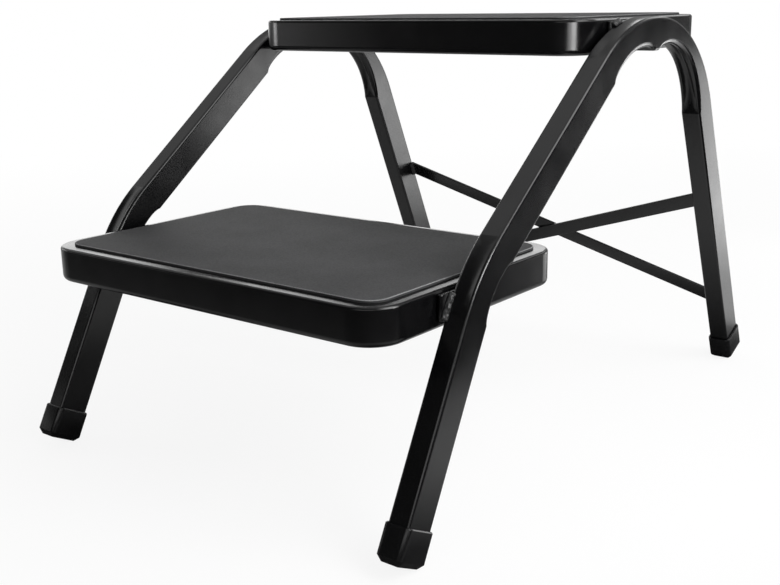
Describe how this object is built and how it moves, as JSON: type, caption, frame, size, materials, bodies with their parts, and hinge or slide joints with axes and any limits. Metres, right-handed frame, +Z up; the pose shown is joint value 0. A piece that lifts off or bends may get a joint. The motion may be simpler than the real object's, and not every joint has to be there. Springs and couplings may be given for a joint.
{
  "type": "double step stool",
  "caption": "Welded steel step stool with a low and a high rubber-topped tray between bent tube side frames, flat cross braces at the back and moulded feet.",
  "frame": {"origin": "centre of the footprint on the floor", "axes": "+X to the right seen from the low step, +Y from the low step towards the high step, +Z up"},
  "size_m": [0.435, 0.6486, 0.3872],
  "materials": {
    "frame_paint": "gloss black paint on steel tube and bar",
    "tray_paint": "gloss black paint on pressed sheet steel",
    "mat_rubber": "matt dark grey rubber",
    "foot_rubber": "satin black moulded rubber"
  },
  "bodies": {
    "root": {"left_side_frame": "frame_paint", "right_side_frame": "frame_paint", "front_cross_brace": "frame_paint", "back_cross_brace": "frame_paint", "lower_spacer_welds": "frame_paint", "upper_spacer_welds": "frame_paint", "brace_welds": "frame_paint", "lower_step_tray": "tray_paint", "lower_tray_stiffener": "tray_paint", "lower_tread_mat": "mat_rubber", "lower_left_spacer": "frame_paint", "lower_right_spacer": "frame_paint", "upper_step_tray": "tray_paint", "upper_tray_stiffener": "tray_paint", "upper_tread_mat": "mat_rubber", "upper_left_spacer": "frame_paint", "upper_right_spacer": "frame_paint", "front_left_foot": "foot_rubber", "front_right_foot": "foot_rubber", "rear_left_foot": "foot_rubber", "rear_right_foot": "foot_rubber"}
  },
  "joints": []
}
